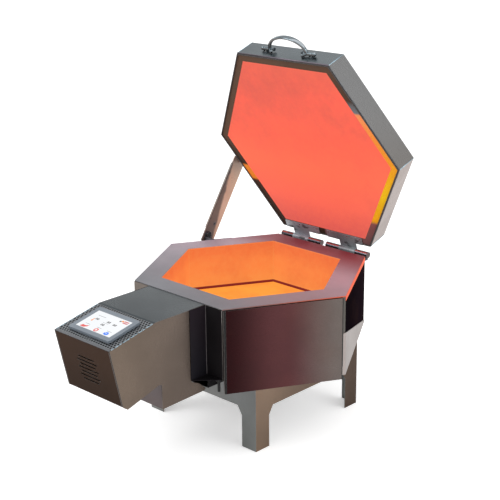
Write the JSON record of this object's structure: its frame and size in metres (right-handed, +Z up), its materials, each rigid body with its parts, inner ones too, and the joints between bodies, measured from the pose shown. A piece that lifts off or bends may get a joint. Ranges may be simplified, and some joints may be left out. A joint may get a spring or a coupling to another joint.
{
  "type": "pottery kiln",
  "caption": "Six-sided top-loading pottery kiln on a folded steel stand, with a hinged insulated lid on a prop arm and a front control box with a sloping touch panel.",
  "frame": {"origin": "on the floor, under the centre of the box the kiln takes up with its lid open; the middle of the stand is 136.5 mm towards +Y from it", "axes": "+Z up; -Y towards the control box and the lid handle; +Y towards the lid hinge; +X to the right as seen from the control box"},
  "size_m": [0.7914, 1.159, 1.2298],
  "materials": {
    "stand_steel": "brushed, warm reflections",
    "pan_steel": "plain sheet",
    "jacket_steel": "polished sheet, heat stained",
    "rim_steel": "satin",
    "firebrick": "matte, porous",
    "hot_plate": "glowing orange, matte",
    "element_wire": "oxidised, glowing",
    "porcelain": "white glaze",
    "brass": "turned",
    "shield_steel": "dark satin, heat tinted",
    "shoe_steel": "satin",
    "black_steel": "satin black",
    "box_steel": "satin",
    "grille_steel": "perforated sheet",
    "front_steel": "satin bronze tint",
    "screw_steel": "bright",
    "bezel_plastic": "satin blue grey",
    "display": "lit white screen",
    "dark_plastic": "moulded",
    "rail_steel": "zinc plated",
    "light_plastic": "moulded",
    "red_insulation": "braided sleeve",
    "black_rubber": "moulded",
    "hinge_steel": "turned",
    "dark_steel": "dark satin",
    "bright_pin": "bright",
    "lid_steel": "satin",
    "band_steel": "polished, heat tinted",
    "lid_hot": "glowing red, matte",
    "gasket": "woven",
    "handle_chrome": "polished",
    "arm_steel": "polished, reflects the hot chamber"
  },
  "bodies": {
    "body": {"stand_frame": "stand_steel", "foot_plates": "stand_steel", "base_pan": "pan_steel", "outer_jacket": "jacket_steel", "rim_plate": "rim_steel", "floor_slab": "firebrick", "wall_brick_front": "firebrick", "wall_brick_front_right": "firebrick", "wall_brick_rear_right": "firebrick", "wall_brick_rear": "firebrick", "wall_brick_rear_left": "firebrick", "wall_brick_front_left": "firebrick", "muffle_plates": "hot_plate", "heating_elements": "element_wire", "terminal_bushings": "porcelain", "terminal_nuts": "brass", "thermocouple": "porcelain", "thermocouple_head": "porcelain", "side_heat_shield": "shield_steel", "corner_shoes": "shoe_steel", "neck_panels": "black_steel", "wiring_trough": "black_steel", "box_side_right": "box_steel", "box_side_left": "box_steel", "box_top_cover": "box_steel", "box_grille_panel": "grille_steel", "box_front_panel": "front_steel", "box_bottom_panel": "pan_steel", "screen_bezel": "bezel_plastic", "screen_glass": "display", "screen_module": "dark_plastic", "din_rail": "rail_steel", "contactors": "dark_plastic", "power_supply": "rail_steel", "terminal_block": "light_plastic", "power_leads": "red_insulation", "cable_gland": "black_rubber", "mains_cable": "black_rubber", "hinge_rods": "hinge_steel", "hinge_barrels": "hinge_steel", "hinge_brackets": "dark_steel", "bracket_bolts": "screw_steel", "stay_bracket": "dark_steel", "stay_screws": "screw_steel", "stay_pivot_pin": "bright_pin"},
    "lid": {"lid_shell": "lid_steel", "lid_frame": "band_steel", "lid_slab": "firebrick", "lid_hot_face": "lid_hot", "lid_gasket": "gasket", "hinge_leaves": "dark_steel", "leaf_screws": "screw_steel", "handle_bow": "handle_chrome", "handle_lugs": "handle_chrome", "handle_bolts": "handle_chrome", "lid_bracket": "dark_steel", "lid_bracket_screws": "screw_steel", "lid_stud": "bright_pin"},
    "stay": {"stay_arm": "arm_steel"}
  },
  "joints": [
    {"name": "lid_hinge", "type": "hinge", "parent": "body", "child": "lid", "pos_m": [0, 0.50779, 0.4845], "axis": [1, 0, 0], "range_deg": [0, 70.2]},
    {"name": "stay_pivot", "type": "hinge", "parent": "body", "child": "stay", "pos_m": [-0.369, 0.28749, 0.4955], "axis": [1, 0, 0], "range_deg": [-147.5, 0]}
  ],
  "couplings": [
    {"joint": "stay_pivot", "follows": "lid_hinge", "ratio": -2.097}
  ]
}
